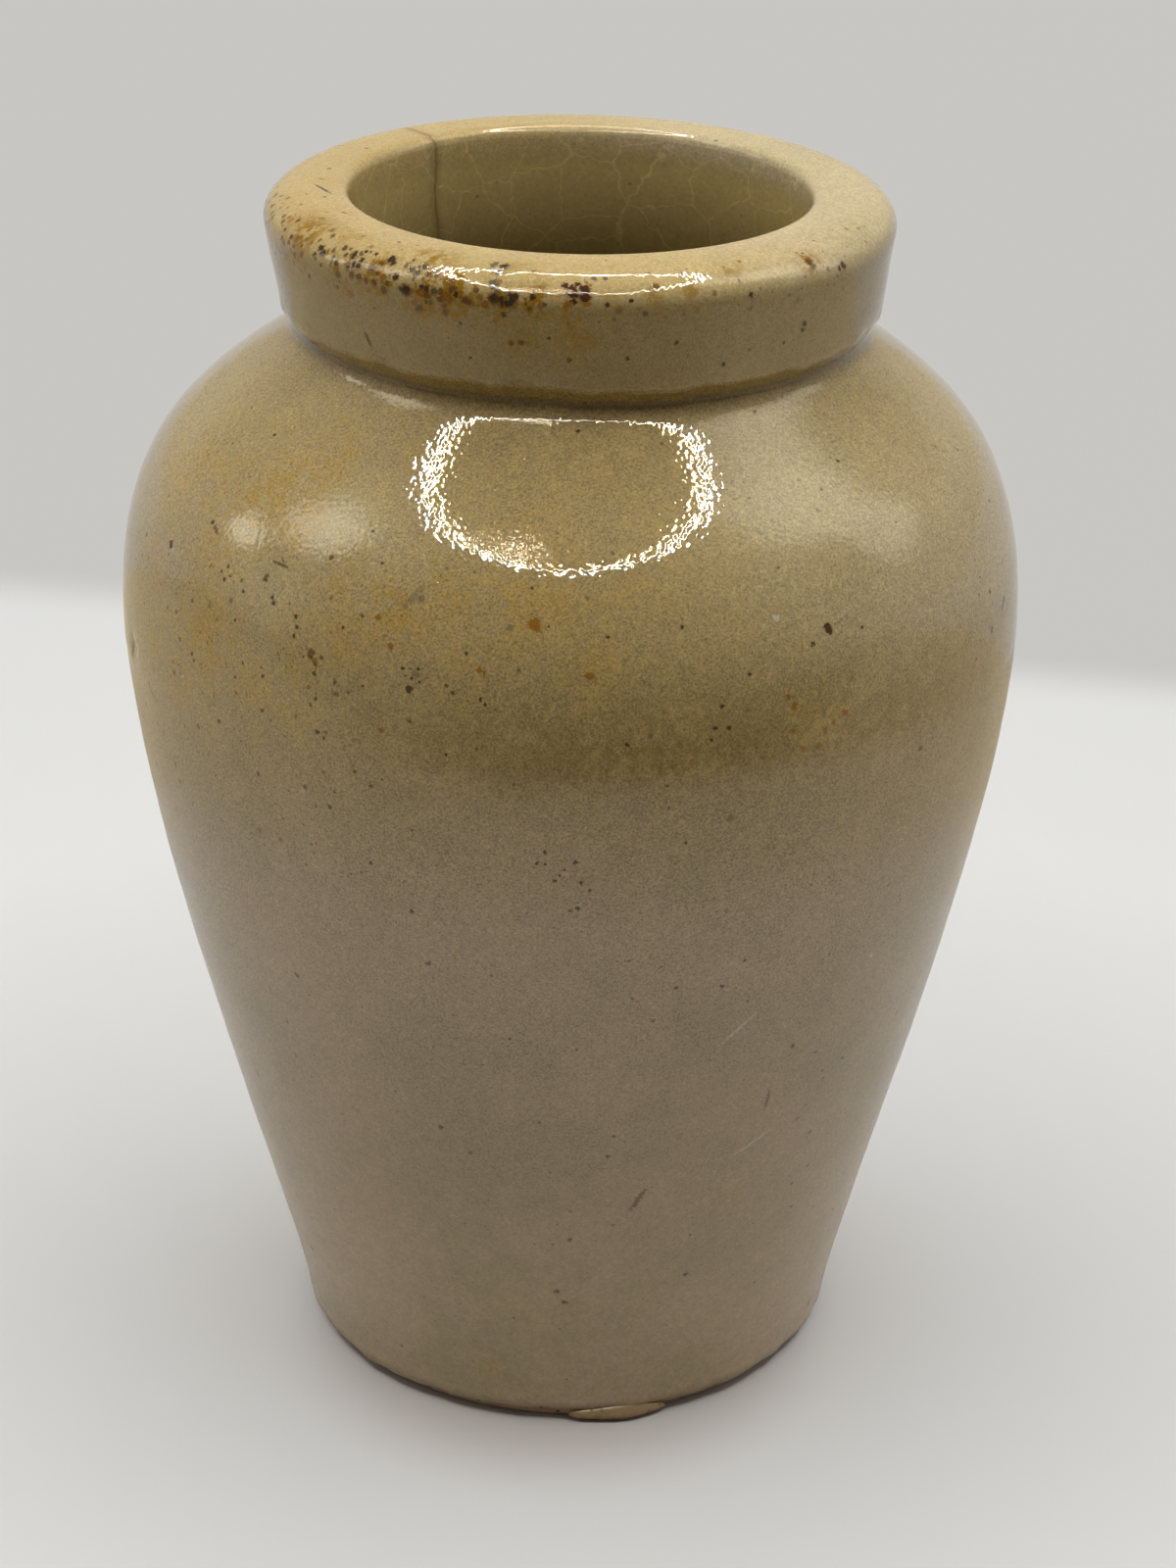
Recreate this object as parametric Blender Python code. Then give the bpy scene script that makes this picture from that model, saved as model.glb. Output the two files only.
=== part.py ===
"""A small glazed stoneware cream pot: wide belly, tapering foot, heavy collar and open mouth.

The clay body carries every layer of glaze. Each layer is its own closed shell: a liner inside,
a first coat on the lower outside, a warmer second coat over the shoulder, collar and lip, and
one drip that ran off the foot edge. Units are metres. +Z is up, the pot stands on z = 0, its
axis is the Z axis, and the drip lies towards -Y.
"""
import math

import bmesh
import bpy
from mathutils import Matrix, Vector

# Heights of the glazed outside, stacked from the floor up
FOOT_EDGE_HEIGHT = 0.0015
SIDE_HEIGHT = 0.0660
SHOULDER_HEIGHT = 0.0242
COLLAR_UNDERCUT_HEIGHT = 0.00115
COLLAR_SIDE_HEIGHT = 0.0068
LIP_ROUND_HEIGHT = 0.00235

# Radii and widths of the glazed outside
FOOT_RADIUS = 0.0233
FOOT_UNDERCUT = 0.0012
BELLY_RADIUS = 0.03716
COLLAR_OVERHANG = 0.00097
COLLAR_FLARE = 0.00109
LIP_ROUND_WIDTH = 0.0034

# How full the curves are: lengths of their tangents, and the slopes at their ends
FOOT_LEAN = 0.15
FOOT_TANGENT = 0.0100
BELLY_LOWER_TANGENT = 0.0183
BELLY_UPPER_TANGENT = 0.0163
NECK_TANGENT = 0.00635
NECK_SLOPE = math.radians(45.0)
NECK_FILLET = 0.00205

# The inside
MOUTH_RADIUS = 0.0189
MOUTH_ROUND = 0.0014
NECK_WALL = 0.0042
WALL = 0.0060
FLOOR = 0.0065
CORNER_ROUND = 0.0060
INSIDE_NECK_TANGENT = 0.0020
INSIDE_BELLY_TANGENT = 0.0130

# Glaze
GLAZE = 0.0006
GAP = 0.0003
DIP_HEIGHT = 0.0670
DRIP_DIRECTION = math.radians(-78.2)
DRIP_WIDTH = 0.0096
DRIP_DEPTH = 0.0013
DRIP_FLOOR_CLEARANCE = 0.00025

# Facets
SEGMENTS = 48
SIDE_STEPS = 7
SHOULDER_STEPS = 8
FILLET_STEPS = 3
LIP_STEPS = 4
MOUTH_STEPS = 3
INSIDE_SHOULDER_STEPS = 6
CORNER_STEPS = 4
DRIP_SEGMENTS = 16
DRIP_RINGS = 8
WELD_DISTANCE = 1e-6
SHARP_ANGLE = math.radians(40.0)

# Levels and radii that follow from the sizes above
BELLY_LEVEL = FOOT_EDGE_HEIGHT + SIDE_HEIGHT
NECK_LEVEL = BELLY_LEVEL + SHOULDER_HEIGHT
COLLAR_LEVEL = NECK_LEVEL + COLLAR_UNDERCUT_HEIGHT
LIP_ROUND_LEVEL = COLLAR_LEVEL + COLLAR_SIDE_HEIGHT
HEIGHT = LIP_ROUND_LEVEL + LIP_ROUND_HEIGHT
NECK_RADIUS = MOUTH_RADIUS + NECK_WALL
COLLAR_LOWER_RADIUS = NECK_RADIUS + COLLAR_OVERHANG
COLLAR_UPPER_RADIUS = COLLAR_LOWER_RADIUS + COLLAR_FLARE
LIP_OUTER_RADIUS = COLLAR_UPPER_RADIUS - LIP_ROUND_WIDTH
LIP_INNER_RADIUS = MOUTH_RADIUS + MOUTH_ROUND
CLAY_INSET = GLAZE + GAP

# Colours (linear), roughness
CLAY_FINISH = ((0.46, 0.33, 0.20), 0.80)
LINER_FINISH = ((0.23, 0.17, 0.08), 0.25)
LOWER_GLAZE_FINISH = ((0.36, 0.29, 0.20), 0.35)
UPPER_GLAZE_FINISH = ((0.44, 0.34, 0.18), 0.25)
DRIP_FINISH = ((0.40, 0.20, 0.05), 0.15)


def bezier(start, start_handle, end_handle, end, steps):
    """Points (radius, height) on a cubic curve, both ends included."""
    corners = [Vector(corner) for corner in (start, start_handle, end_handle, end)]
    points = []
    for step in range(steps + 1):
        t = step / steps
        s = 1.0 - t
        weights = (s ** 3, 3 * s * s * t, 3 * s * t * t, t ** 3)
        point = sum((c * w for c, w in zip(corners, weights)), Vector((0.0, 0.0)))
        points.append(point)
    return points


def quarter_round(centre, width, height, start_angle, end_angle, steps):
    """Points on an elliptical arc about a centre (radius, height)."""
    points = []
    for step in range(steps + 1):
        angle = start_angle + (end_angle - start_angle) * step / steps
        offset = Vector((width * math.cos(angle), height * math.sin(angle)))
        points.append(Vector(centre) + offset)
    return points


def join(*runs):
    """One run of points from several, leaving out points that repeat."""
    joined = []
    for run in runs:
        for point in run:
            if not joined or (Vector(point) - joined[-1]).length > WELD_DISTANCE:
                joined.append(Vector(point))
    return joined


def side_curve(steps):
    """The tapering side, from the foot edge up to the belly."""
    foot_handle = (FOOT_RADIUS + FOOT_LEAN * FOOT_TANGENT, FOOT_EDGE_HEIGHT + FOOT_TANGENT)
    belly_handle = (BELLY_RADIUS, BELLY_LEVEL - BELLY_LOWER_TANGENT)
    foot = (FOOT_RADIUS, FOOT_EDGE_HEIGHT)
    return bezier(foot, foot_handle, belly_handle, (BELLY_RADIUS, BELLY_LEVEL), steps)


def side_radius(level):
    """Outside radius of the tapering side at a height."""
    points = side_curve(SIDE_STEPS)
    for lower, upper in zip(points, points[1:]):
        if lower.y <= level <= upper.y:
            share = (level - lower.y) / (upper.y - lower.y)
            return lower.x + share * (upper.x - lower.x)
    return points[0].x if level < points[0].y else points[-1].x


def outside_run():
    """The glazed outside from the foot edge, over the lip, to the end of the mouth's rounding."""
    fillet = quarter_round((NECK_RADIUS + NECK_FILLET, NECK_LEVEL), NECK_FILLET, NECK_FILLET,
                           math.pi * 3 / 2 - NECK_SLOPE, math.pi, FILLET_STEPS)
    neck_reach = Vector((math.cos(NECK_SLOPE), -math.sin(NECK_SLOPE))) * NECK_TANGENT
    shoulder = bezier((BELLY_RADIUS, BELLY_LEVEL),
                      (BELLY_RADIUS, BELLY_LEVEL + BELLY_UPPER_TANGENT),
                      fillet[0] + neck_reach,
                      fillet[0],
                      SHOULDER_STEPS)
    collar = [(COLLAR_LOWER_RADIUS, COLLAR_LEVEL)]
    lip_round = quarter_round((LIP_OUTER_RADIUS, LIP_ROUND_LEVEL), LIP_ROUND_WIDTH,
                              LIP_ROUND_HEIGHT, 0.0, math.pi / 2, LIP_STEPS)
    mouth_round = quarter_round((LIP_INNER_RADIUS, HEIGHT - MOUTH_ROUND), MOUTH_ROUND,
                                MOUTH_ROUND, math.pi / 2, math.pi, MOUTH_STEPS)
    return join(side_curve(SIDE_STEPS), shoulder, fillet, collar, lip_round, mouth_round)


def inside_run():
    """The glazed inside from the mouth's rounding down to the middle of the floor."""
    belly = Vector((BELLY_RADIUS - WALL, BELLY_LEVEL))
    neck = Vector((MOUTH_RADIUS, NECK_LEVEL - WALL))
    shoulder = bezier(neck,
                      neck - Vector((0.0, INSIDE_NECK_TANGENT)),
                      belly + Vector((0.0, INSIDE_BELLY_TANGENT)),
                      belly,
                      INSIDE_SHOULDER_STEPS)
    corner_level = FLOOR + CORNER_ROUND
    corner_radius = side_radius(corner_level) - WALL
    side = [point - Vector((WALL, 0.0)) for point in reversed(side_curve(SIDE_STEPS))
            if point.y > corner_level + CORNER_ROUND / 2]
    corner = quarter_round((corner_radius - CORNER_ROUND, corner_level), CORNER_ROUND,
                           CORNER_ROUND, 0.0, -math.pi / 2, CORNER_STEPS)
    return join([(MOUTH_RADIUS, HEIGHT - MOUTH_ROUND)], shoulder, side, corner, [(0.0, FLOOR)])


def inset(run, distance):
    """The run moved into the wall by a distance, with mitred corners."""
    normals = []
    for start, end in zip(run, run[1:]):
        along = (end - start).normalized()
        normals.append(Vector((-along.y, along.x)))
    moved = []
    for index, point in enumerate(run):
        before = normals[max(index - 1, 0)]
        after = normals[min(index, len(normals) - 1)]
        middle = (before + after).normalized()
        moved.append(point + middle * (distance / middle.dot(before)))
    return moved


def length_along(run, level):
    """Distance along a run at which it first reaches a height."""
    length = 0.0
    for start, end in zip(run, run[1:]):
        step = (end - start).length
        if start.y <= level <= end.y:
            return length + step * (level - start.y) / (end.y - start.y)
        length += step
    return length


def total_length(run):
    return sum((end - start).length for start, end in zip(run, run[1:]))


def stretch(run, first, last):
    """The part of a run between two distances along it."""
    points = []
    length = 0.0
    for start, end in zip(run, run[1:]):
        step = (end - start).length
        for distance in (first, last):
            if length <= distance < length + step:
                points.append((distance, start.lerp(end, (distance - length) / step)))
        length += step
        if first < length < last:
            points.append((length, end))
    if last >= length:
        points.append((length, run[-1]))
    points.sort(key=lambda entry: entry[0])
    return join([point for distance, point in points])


def finish(node_name, colour, roughness):
    """A plain material in the piece's own colour."""
    material = bpy.data.materials.new(node_name)
    material.use_nodes = True
    shader = material.node_tree.nodes["Principled BSDF"]
    shader.inputs["Base Color"].default_value = (*colour, 1.0)
    shader.inputs["Roughness"].default_value = roughness
    shader.inputs["Metallic"].default_value = 0.0
    material.diffuse_color = (*colour, 1.0)
    return material


def add_piece(node_name, shape, surface):
    """A named object from finished geometry, smooth except at its crisp edges."""
    bmesh.ops.remove_doubles(shape, verts=shape.verts, dist=WELD_DISTANCE)
    bmesh.ops.recalc_face_normals(shape, faces=shape.faces)
    mesh = bpy.data.meshes.new(node_name)
    shape.to_mesh(mesh)
    shape.free()
    mesh.shade_smooth()
    mesh.set_sharp_from_angle(angle=SHARP_ANGLE)
    mesh.materials.append(finish(node_name, *surface))
    piece = bpy.data.objects.new(node_name, mesh)
    bpy.context.collection.objects.link(piece)
    return piece


def turn(node_name, outline, closed, surface):
    """A piece turned about the Z axis. An open outline starts and ends on the axis."""
    shape = bmesh.new()
    corners = [shape.verts.new((point.x, 0.0, point.y)) for point in outline]
    pairs = list(zip(corners, corners[1:]))
    if closed:
        pairs.append((corners[-1], corners[0]))
    edges = [shape.edges.new(pair) for pair in pairs]
    bmesh.ops.spin(shape, geom=corners + edges, cent=(0, 0, 0), axis=(0, 0, 1),
                   dvec=(0, 0, 0), angle=2 * math.pi, steps=SEGMENTS, use_merge=True)
    return add_piece(node_name, shape, surface)


def shell_outline(run):
    """A glaze layer's section: the run, and the same run one layer deeper, back again."""
    return join(run, reversed(inset(run, GLAZE)))


def make_body(surface_run):
    """The clay under all the glaze, standing on its bare flat foot."""
    under_glaze = inset(surface_run, CLAY_INSET)
    foot = [(FOOT_RADIUS - FOOT_UNDERCUT, 0.0)]
    bottom = [(0.0, 0.0)]
    outline = join(bottom, foot, under_glaze)
    turn("stoneware_body", outline, False, CLAY_FINISH)


def make_glazes(surface_run, outside_length):
    """The two outside coats and the liner, each a shell with a gap to the next."""
    dip = length_along(surface_run, DIP_HEIGHT)
    whole = total_length(surface_run)
    lower = stretch(surface_run, 0.0, dip - GAP / 2)
    upper = stretch(surface_run, dip + GAP / 2, outside_length - GAP / 2)
    liner = stretch(surface_run, outside_length + GAP / 2, whole)
    turn("lower_glaze", shell_outline(lower), True, LOWER_GLAZE_FINISH)
    turn("upper_glaze", shell_outline(upper), True, UPPER_GLAZE_FINISH)
    # The liner's section starts and ends on the axis, where the floor closes it
    turn("liner_glaze", join(reversed(liner), inset(liner, GLAZE)), False, LINER_FINISH)


def make_drip():
    """A bead of run glaze under the foot edge, bent round the foot."""
    shape = bmesh.new()
    bmesh.ops.create_uvsphere(shape, u_segments=DRIP_SEGMENTS, v_segments=DRIP_RINGS, radius=1.0,
                              matrix=Matrix.Rotation(math.pi / 2, 4, "Y"))
    clay_radius = FOOT_RADIUS - GLAZE
    middle_radius = clay_radius + DRIP_DEPTH / 2
    top = FOOT_EDGE_HEIGHT - GAP
    half_height = (top - DRIP_FLOOR_CLEARANCE) / 2
    middle_level = (top + DRIP_FLOOR_CLEARANCE) / 2
    for corner in shape.verts:
        angle = DRIP_DIRECTION + corner.co.x * DRIP_WIDTH / 2 / middle_radius
        radius = middle_radius + corner.co.y * DRIP_DEPTH / 2
        level = middle_level + corner.co.z * half_height
        corner.co = (radius * math.cos(angle), radius * math.sin(angle), level)
    add_piece("foot_glaze_drip", shape, DRIP_FINISH)


def main():
    for existing in list(bpy.data.objects):
        bpy.data.objects.remove(existing)
    outside = outside_run()
    surface_run = join(outside, inside_run())
    make_body(surface_run)
    make_glazes(surface_run, total_length(outside))
    make_drip()


main()
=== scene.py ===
"""Looks of the glazed stoneware cream pot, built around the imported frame.

Lengths are millimetres until make_mesh() writes metres. The pot stands on z = 0, its axis is
near the Z axis, and its front, with the drip at the foot, faces -Y. Every layer of glaze is a
closed shell turned from one run of points: up the outside, over the lip and down the inside.
"""
import math
import random

import bpy
import numpy as np
from mathutils import Matrix, Vector
from mathutils.bvhtree import BVHTree


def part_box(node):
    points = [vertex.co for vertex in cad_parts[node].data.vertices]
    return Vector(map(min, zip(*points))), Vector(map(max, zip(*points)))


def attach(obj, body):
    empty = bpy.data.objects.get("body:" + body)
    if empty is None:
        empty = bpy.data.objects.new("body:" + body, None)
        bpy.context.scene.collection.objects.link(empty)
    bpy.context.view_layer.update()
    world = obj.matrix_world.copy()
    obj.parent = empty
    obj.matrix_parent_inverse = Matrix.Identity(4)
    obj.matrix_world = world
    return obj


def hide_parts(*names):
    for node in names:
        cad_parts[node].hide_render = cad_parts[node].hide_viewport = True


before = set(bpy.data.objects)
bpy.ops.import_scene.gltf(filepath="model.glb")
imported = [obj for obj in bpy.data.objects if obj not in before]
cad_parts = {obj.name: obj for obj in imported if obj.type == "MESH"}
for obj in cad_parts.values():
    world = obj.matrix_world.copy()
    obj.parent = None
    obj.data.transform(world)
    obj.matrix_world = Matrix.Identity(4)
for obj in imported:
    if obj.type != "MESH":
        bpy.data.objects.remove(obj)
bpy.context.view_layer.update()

MM = 0.001

# The glazed outline, radius by height
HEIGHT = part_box("upper_glaze")[1].z / MM - 0.02
BELLY_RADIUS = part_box("lower_glaze")[1].x / MM - 0.12
BELLY_LEVEL = 67.5
FOOT_RADIUS = 23.3
FOOT_EDGE_LEVEL = 1.5
FOOT_HANDLE = (24.8, 11.5)
BELLY_LOWER_TANGENT = 18.3
BELLY_UPPER_TANGENT = 16.3
NECK_RADIUS = 23.1
NECK_LEVEL = 91.7
NECK_TANGENT = 6.35
NECK_SLOPE = math.radians(45.0)
NECK_FILLET = 2.05
COLLAR_LOWER = (24.07, 92.85)
COLLAR_UPPER = (25.16, 99.65)
LIP_ROUND_WIDTH = 3.4
MOUTH_RADIUS = 18.35
MOUTH_ROUND = 0.8
INSIDE_NECK_LEVEL = 85.7
WALL = 6.0
FLOOR_LEVEL = 6.5
CORNER_ROUND = 6.0
CORNER_SOFTNESS = 0.28

# Layers
GLAZE = 0.6
CLAY_INSET = 0.9
FOOT_ROLL = ((22.35, 1.50), (22.62, 1.12), (23.15, 1.10), (23.44, 1.75))
BARE_FOOT = ((2.0, 0.30), (5.0, 0.28), (9.0, 0.30), (13.0, 0.27), (16.0, 0.24), (18.5, 0.12),
             (20.0, 0.02), (21.2, 0.0), (21.8, 0.06), (22.1, 0.22), (22.25, 0.5), (22.3, 0.9))
DIP_LEVEL = 65.4
DIP_TILT = 1.3
DIP_TILT_TOWARDS = math.radians(-60.0)
DRIP_DIRECTION = math.radians(-78.2)
DRIP_WIDTH = 8.6
DRIP_RADIUS = 22.95
DRIP_LEVEL = 0.66
DRIP_THICKNESS = 0.70
DRIP_DEPTH = 0.44
DRIP_RISE = 2.2
CRACK_ANGLE = math.radians(131.5)
CRACK_DEPTH = 13.0
PALE_TOWARDS = math.radians(15.0)

# How far the middle of the turned pot strays from the Z axis, by height
LEAN_LEVELS = (0.0, 25.5, 51.0, 76.5, 91.5, 99.0)
LEAN_X = (0.78, 0.45, 0.21, 0.0, 0.48, 0.23)
LEAN_Y = (0.0, 0.0, 0.0, 0.0, 0.35, 0.45)
LIP_SWAY = 0.06
LIP_LOW_TOWARDS = math.radians(110.0)

# Fineness of the meshes
AROUND = 400
AROUND_HIDDEN = 160
RUN_STEP = 0.05
HIDDEN_STEP = 2.0

# Camera of the photograph: place in millimetres, turns in degrees
CAMERA_PLACE = (0.4, -271.39, 177.52)
CAMERA_YAW = 0.3056
CAMERA_DROP = 25.2394
CAMERA_ROLL = 1.2545
CAMERA_LENS = 80.45
SENSOR = 36.0
PHOTO_SIZE = (1200, 1600)


def smoothstep(low, high, value):
    share = np.clip((value - low) / (high - low), 0.0, 1.0)
    return share * share * (3.0 - 2.0 * share)


def soft_steps(value, places, amounts):
    """Amounts at given places, joined by smooth steps."""
    total = np.full_like(value, amounts[0])
    for place, following, amount, target in zip(places, places[1:], amounts, amounts[1:]):
        total = total + (target - amount) * smoothstep(place, following, value)
    return total


def bezier(start, start_handle, end_handle, end, steps=120):
    share = np.linspace(0.0, 1.0, steps)[:, None]
    rest = 1.0 - share
    corners = [np.array(corner, float) for corner in (start, start_handle, end_handle, end)]
    return (rest ** 3 * corners[0] + 3 * rest ** 2 * share * corners[1]
            + 3 * rest * share ** 2 * corners[2] + share ** 3 * corners[3])


def arc(centre, width, height, start_degrees, end_degrees, steps=40):
    angle = np.radians(np.linspace(start_degrees, end_degrees, steps))
    return np.column_stack([centre[0] + width * np.cos(angle), centre[1] + height * np.sin(angle)])


class Run:
    """The glazed section as one run of points with its lengths, and the outward direction."""

    def __init__(self, stretches):
        points = np.vstack(stretches)
        length = self.lengths(points)
        keep = np.concatenate([[True], np.diff(length) > 1e-6])
        points, length = points[keep], length[keep]
        even = np.arange(0.0, length[-1], RUN_STEP)
        points = np.column_stack([np.interp(even, length, points[:, axis]) for axis in (0, 1)])
        points = self.soften(points)
        self.points = points
        self.length = self.lengths(points)
        along = np.gradient(points, axis=0)
        along /= np.linalg.norm(along, axis=1)[:, None]
        self.out = np.column_stack([along[:, 1], -along[:, 0]])

    @staticmethod
    def lengths(points):
        steps = np.linalg.norm(np.diff(points, axis=0), axis=1)
        return np.concatenate([[0.0], np.cumsum(steps)])

    @staticmethod
    def soften(points):
        """Rounds the corners by averaging along the run."""
        reach = int(3 * CORNER_SOFTNESS / RUN_STEP)
        offsets = np.arange(-reach, reach + 1) * RUN_STEP
        weights = np.exp(-0.5 * (offsets / CORNER_SOFTNESS) ** 2)
        weights /= weights.sum()
        before = 2 * points[0] - points[reach:0:-1]
        after = 2 * points[-1] - points[-2:-reach - 2:-1]
        padded = np.vstack([before, points, after])
        return np.column_stack([np.convolve(padded[:, axis], weights, "valid") for axis in (0, 1)])

    def at(self, length):
        return [np.interp(length, self.length, self.points[:, axis]) for axis in (0, 1)]

    def outward(self, length):
        return [np.interp(length, self.length, self.out[:, axis]) for axis in (0, 1)]

    def nearest(self, radius, level):
        """Length along the run at the point nearest to a radius and level."""
        gaps = np.hypot(self.points[:, 0] - radius, self.points[:, 1] - level)
        return self.length[int(np.argmin(gaps))]


def make_run():
    side = bezier((FOOT_RADIUS, FOOT_EDGE_LEVEL), FOOT_HANDLE,
                  (BELLY_RADIUS, BELLY_LEVEL - BELLY_LOWER_TANGENT), (BELLY_RADIUS, BELLY_LEVEL))
    fillet = arc((NECK_RADIUS + NECK_FILLET, NECK_LEVEL), NECK_FILLET, NECK_FILLET,
                 270.0 - math.degrees(NECK_SLOPE), 180.0)
    neck_reach = NECK_TANGENT * np.array((math.cos(NECK_SLOPE), -math.sin(NECK_SLOPE)))
    shoulder = bezier((BELLY_RADIUS, BELLY_LEVEL),
                      (BELLY_RADIUS, BELLY_LEVEL + BELLY_UPPER_TANGENT),
                      fillet[0] + neck_reach,
                      fillet[0])
    lip = arc((COLLAR_UPPER[0] - LIP_ROUND_WIDTH, COLLAR_UPPER[1]),
              LIP_ROUND_WIDTH, HEIGHT - COLLAR_UPPER[1], 0.0, 90.0)
    mouth = arc((MOUTH_RADIUS + MOUTH_ROUND, HEIGHT - MOUTH_ROUND),
                MOUTH_ROUND, MOUTH_ROUND, 90.0, 180.0)
    inside_belly = (BELLY_RADIUS - WALL, BELLY_LEVEL)
    inside_shoulder = bezier((MOUTH_RADIUS, INSIDE_NECK_LEVEL),
                             (MOUTH_RADIUS, INSIDE_NECK_LEVEL - 2.0),
                             (inside_belly[0], BELLY_LEVEL + 13.0),
                             inside_belly)
    corner_level = FLOOR_LEVEL + CORNER_ROUND
    inside_side = side[::-1] - (WALL, 0.0)
    inside_side = inside_side[inside_side[:, 1] > corner_level + CORNER_ROUND / 2]
    corner_radius = np.interp(corner_level, side[:, 1], side[:, 0]) - WALL
    corner = arc((corner_radius - CORNER_ROUND, corner_level), CORNER_ROUND, CORNER_ROUND, 0, -90)
    foot = np.array(FOOT_ROLL)
    side = side[side[:, 1] > FOOT_ROLL[-1][1] + 0.6]
    return Run([foot, side, shoulder, fillet, [COLLAR_LOWER], lip, mouth, inside_shoulder,
                inside_side, corner, [(0.0, FLOOR_LEVEL)]])


RUN = make_run()
SIDE_START = RUN.nearest(FOOT_RADIUS, 3.0)
DIP_LENGTH = RUN.nearest(BELLY_RADIUS, DIP_LEVEL)
NECK_LENGTH = RUN.nearest(NECK_RADIUS, NECK_LEVEL)
COLLAR_EDGE_LENGTH = RUN.nearest(*COLLAR_LOWER)
LIP_START_LENGTH = RUN.nearest(*COLLAR_UPPER)
MOUTH_LENGTH = RUN.nearest(MOUTH_RADIUS, HEIGHT - MOUTH_ROUND)
CREST_LENGTH = RUN.nearest(MOUTH_RADIUS + MOUTH_ROUND, HEIGHT)


def sway(angle, *waves):
    """Sum of a few slow waves round the pot, each (count, amount, phase)."""
    return sum(amount * np.sin(count * angle + phase) for count, amount, phase in waves)


def dip_shift(angle):
    """How far above its mean level the second coat's edge lies."""
    slant = DIP_TILT * np.cos(angle - DIP_TILT_TOWARDS)
    return slant + sway(angle, (3, 0.22, 0.6), (5, 0.16, 2.0), (11, 0.08, 0.3), (17, 0.05, 1.1))


def collar_edge_shift(angle):
    """Unevenness of the collar's lower edge, along the run."""
    return sway(angle, (4, 0.07, 0.2), (9, 0.06, 1.3), (23, 0.05, 0.0), (41, 0.035, 2.2))


def relief(length, angle):
    """Slow unevenness of the thrown wall and the thicker glaze above the dip, outwards."""
    push = sway(angle, (2, 0.05, 0.9), (3, 0.03, 2.4)) * np.ones_like(length)
    push += 0.012 * np.sin(length * 2 * math.pi / 9.0 + 1.5 * np.sin(angle))
    push += 0.006 * np.sin(length * 2 * math.pi / 3.1 + 2.0 * np.sin(angle + 1.0))
    above = length - DIP_LENGTH - dip_shift(angle)
    push += 0.035 * smoothstep(-0.5, 0.6, above) * (1 - smoothstep(1.0, 9.0, above))
    edge = length - COLLAR_EDGE_LENGTH
    push += collar_edge_shift(angle) * np.exp(-(edge / 0.9) ** 2)
    push *= 1 - smoothstep(LIP_START_LENGTH, CREST_LENGTH, length)
    foot_wave = sway(angle, (5, 0.06, 1.0), (13, 0.05, 0.4), (29, 0.05, 2.0), (47, 0.03, 0.9))
    push += foot_wave * (1 - smoothstep(0.8, 2.6, length))
    return push


def place(radius, level, angle):
    """Points from radius, level and angle, with the pot's lean and the lip's sway."""
    sag = LIP_SWAY * (np.cos(angle - LIP_LOW_TOWARDS) + 1.0) * smoothstep(90.0, 99.0, level)
    x = radius * np.cos(angle) + soft_steps(level, LEAN_LEVELS, LEAN_X)
    y = radius * np.sin(angle) + soft_steps(level, LEAN_LEVELS, LEAN_Y)
    return np.stack([x, y, level - sag], axis=-1)


def on_axis(level):
    return place(np.array(0.0), np.array(level), np.array(0.0))


def surface(length, angle, depth=0.0):
    """Points on the glazed surface, or a depth under it."""
    radius, level = RUN.at(length)
    out_radius, out_level = RUN.outward(length)
    push = relief(length, angle) - depth
    return place(np.maximum(radius + push * out_radius, 0.0), level + push * out_level, angle)


def ring_lengths(start, end, zones):
    """Lengths of the rings from start to end. A zone is (its end, step)."""
    lengths = [start]
    for zone_end, step in zones:
        stop = min(zone_end, end)
        span = stop - lengths[-1]
        if span <= 0:
            continue
        count = max(1, round(span / step))
        lengths += list(np.linspace(lengths[-1], stop, count + 1)[1:])
    return np.array(lengths)


ZONES = ((SIDE_START, 0.12), (DIP_LENGTH - 2.0, 0.55), (DIP_LENGTH + 2.0, 0.20),
         (NECK_LENGTH - 4.0, 0.50), (COLLAR_EDGE_LENGTH + 1.0, 0.10),
         (LIP_START_LENGTH, 0.30), (MOUTH_LENGTH + 2.0, 0.16), (MOUTH_LENGTH + 20.0, 0.5),
         (RUN.length[-1], 0.9))
DIP_FADE = 8.0


def around(count):
    return np.linspace(0.0, 2 * math.pi, count, endpoint=False)


def grid(lengths, count, depth=0.0):
    """Points, lengths and angles of rings that bend with the dip line where they are near it."""
    length, angle = np.meshgrid(lengths, around(count), indexing="ij")
    nearness = 1 - smoothstep(0.0, DIP_FADE, np.abs(length - DIP_LENGTH))
    length = length + dip_shift(angle) * nearness
    return surface(length, angle, depth), length, angle


def make_mesh(name, rings, closed, start_pole=None, end_pole=None):
    """A mesh of quads between rings of points, in metres."""
    rows, columns = rings.shape[:2]
    index = np.arange(rows * columns).reshape(rows, columns)
    following = index[1:]
    current = index[:-1]
    if closed:
        following = np.vstack([following, index[:1]])
        current = index
    quads = np.stack([current, np.roll(current, -1, 1), np.roll(following, -1, 1), following], -1)
    faces = quads.reshape(-1, 4).tolist()
    points = rings.reshape(-1, 3)
    if start_pole is not None:
        pole = len(points)
        points = np.vstack([points, start_pole])
        row = index[0]
        faces += [[pole, int(b), int(a)] for a, b in zip(row, np.roll(row, -1))]
    if end_pole is not None:
        pole = len(points)
        points = np.vstack([points, end_pole])
        row = index[-1]
        faces += [[pole, int(a), int(b)] for a, b in zip(row, np.roll(row, -1))]
    mesh = bpy.data.meshes.new(name)
    mesh.from_pydata((points * MM).tolist(), [], faces)
    mesh.validate()
    mesh.shade_smooth()
    mesh.set_sharp_from_angle(angle=math.radians(40.0))
    return mesh


def new_object(name, data):
    made = bpy.data.objects.new(name, data)
    bpy.context.scene.collection.objects.link(made)
    return made


def add_piece(name, mesh, material):
    piece = new_object(name, mesh)
    mesh.materials.append(material)
    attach(piece, "root")
    return piece


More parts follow.
